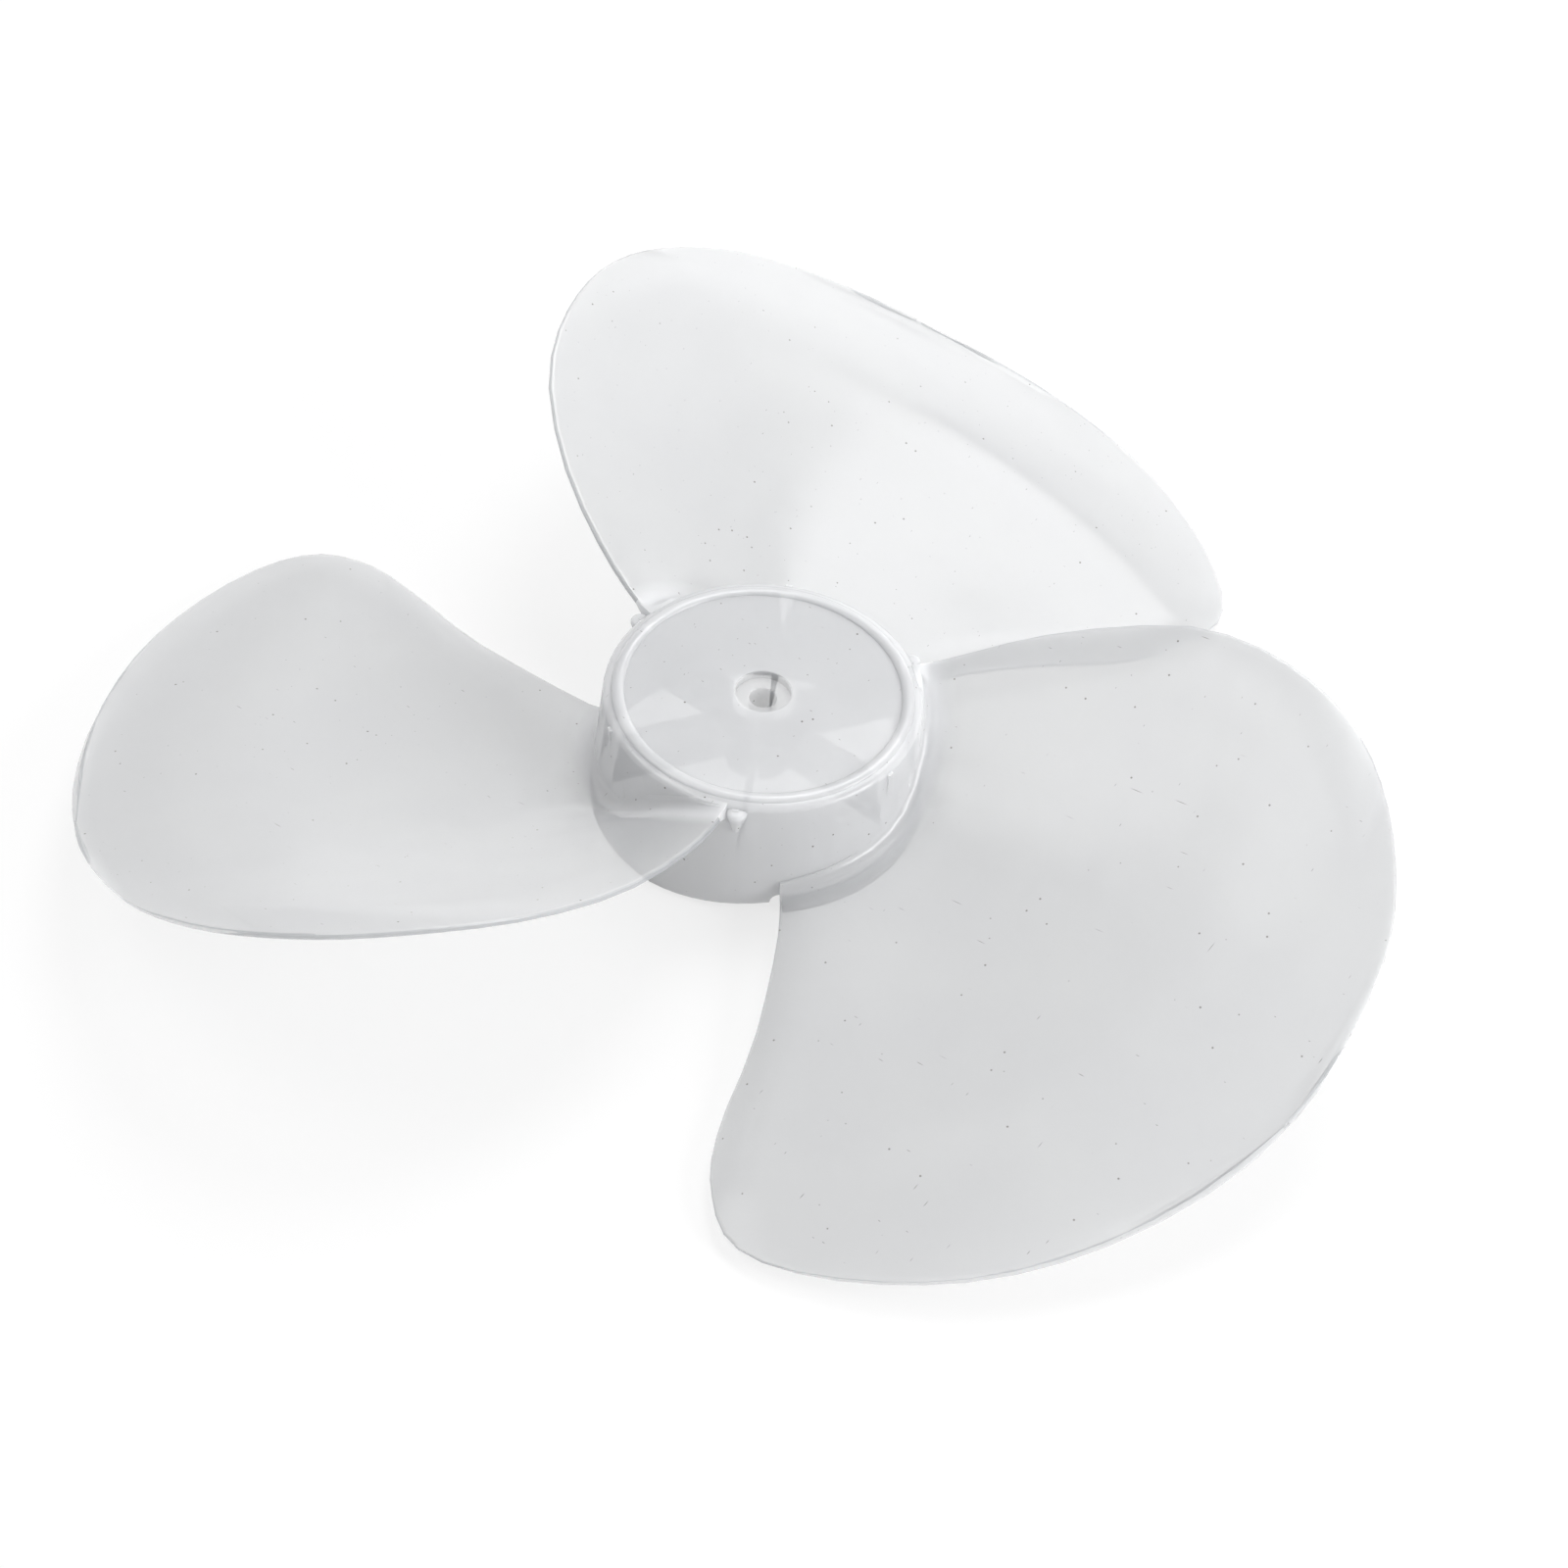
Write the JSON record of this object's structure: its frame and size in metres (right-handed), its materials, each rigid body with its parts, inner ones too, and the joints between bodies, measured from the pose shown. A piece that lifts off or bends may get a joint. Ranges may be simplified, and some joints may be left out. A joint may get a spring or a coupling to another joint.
{
  "type": "fan blade",
  "caption": "Translucent milky white moulded fan blade: broad scooped leaves on a closed drum hub with a shaft bore, a nut seat in front and ribs behind.",
  "frame": {"origin": "on the shaft axis, at the rear end of the shaft bore, where the shaft's drive pin seats", "axes": "+Z along the shaft axis out of the front face, towards the nut and the user; +X through the lug at the high edge of one leaf"},
  "size_m": [0.3752, 0.3792, 0.0732],
  "materials": {
    "polypropylene": "glossy translucent milky white polypropylene, as moulded"
  },
  "bodies": {
    "root": {"fan_blade": "polypropylene"}
  },
  "joints": []
}
